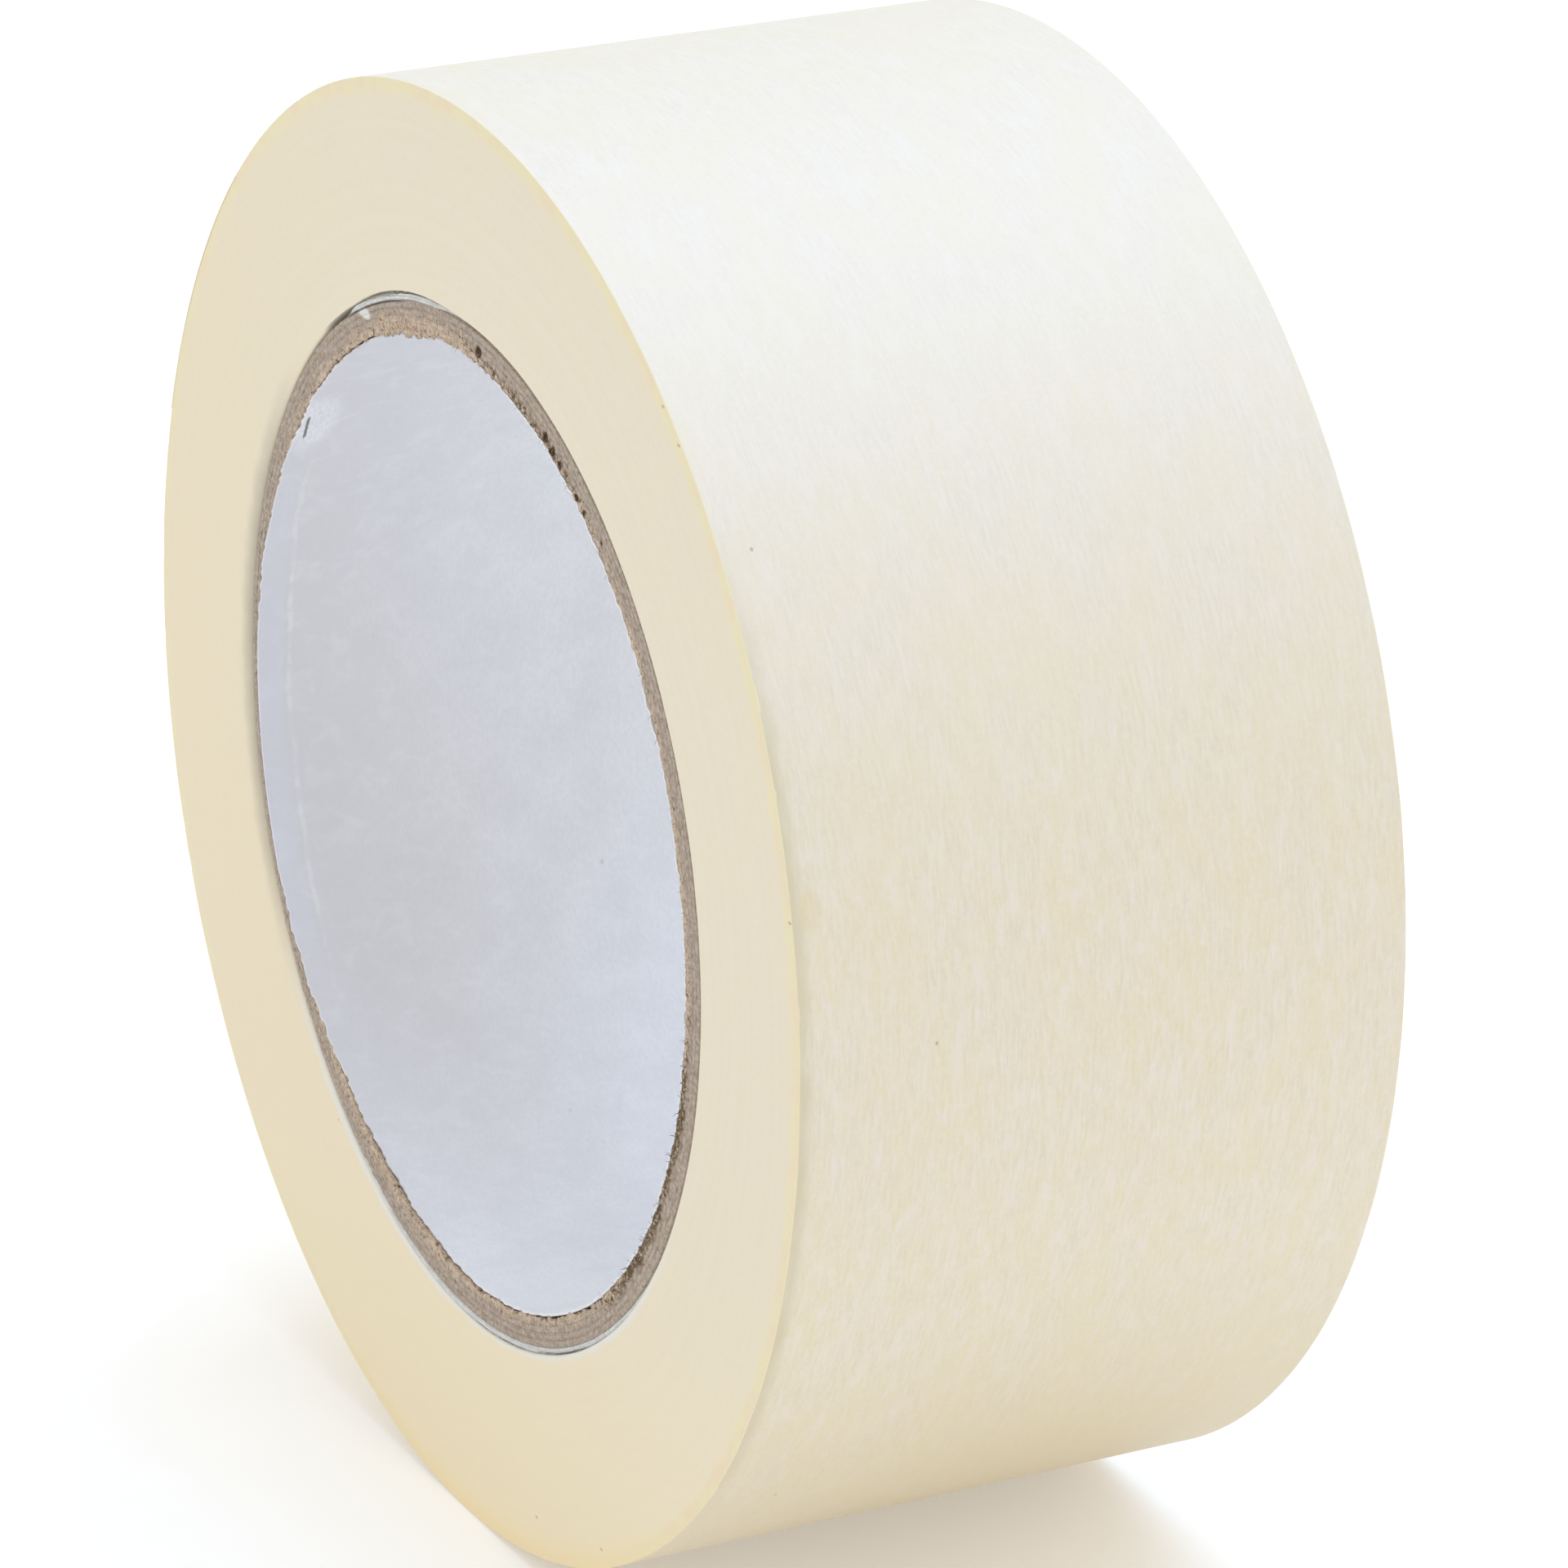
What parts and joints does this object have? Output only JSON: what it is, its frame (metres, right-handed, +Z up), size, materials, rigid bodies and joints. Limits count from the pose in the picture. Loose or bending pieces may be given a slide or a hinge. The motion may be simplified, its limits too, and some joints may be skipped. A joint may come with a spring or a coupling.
{
  "type": "masking tape roll",
  "caption": "Roll of cream crepe paper masking tape on a spiral-wound paperboard core, standing on its rim, with a free end that peels up.",
  "frame": {"origin": "centre of the roll: on its axis, at mid width", "axes": "+Y along the roll's axis, from the side face in view to the far one; +Z up as the roll stands on its rim; +X level, across the roll, away from the free end"},
  "size_m": [0.1151, 0.05, 0.1151],
  "materials": {
    "liner_paper": "smooth matte white paper",
    "chipboard": "raw grey-brown chipboard, cut edge",
    "wrap_paper": "matte white paper",
    "crepe_tape": "cream crepe paper, low sheen"
  },
  "bodies": {
    "roll": {"wound_tape": "crepe_tape", "core_inner_liner": "liner_paper", "core_ply_1": "chipboard", "core_ply_2": "chipboard", "core_ply_3": "chipboard", "core_ply_4": "chipboard", "core_outer_liner": "wrap_paper"},
    "tape_end": {"tape_end": "crepe_tape"}
  },
  "joints": [
    {"name": "tape_end_peel", "type": "hinge", "parent": "roll", "child": "tape_end", "pos_m": [-0.04231, 0, 0.03921], "axis": [0, 1, 0], "range_deg": [0, 120]}
  ]
}
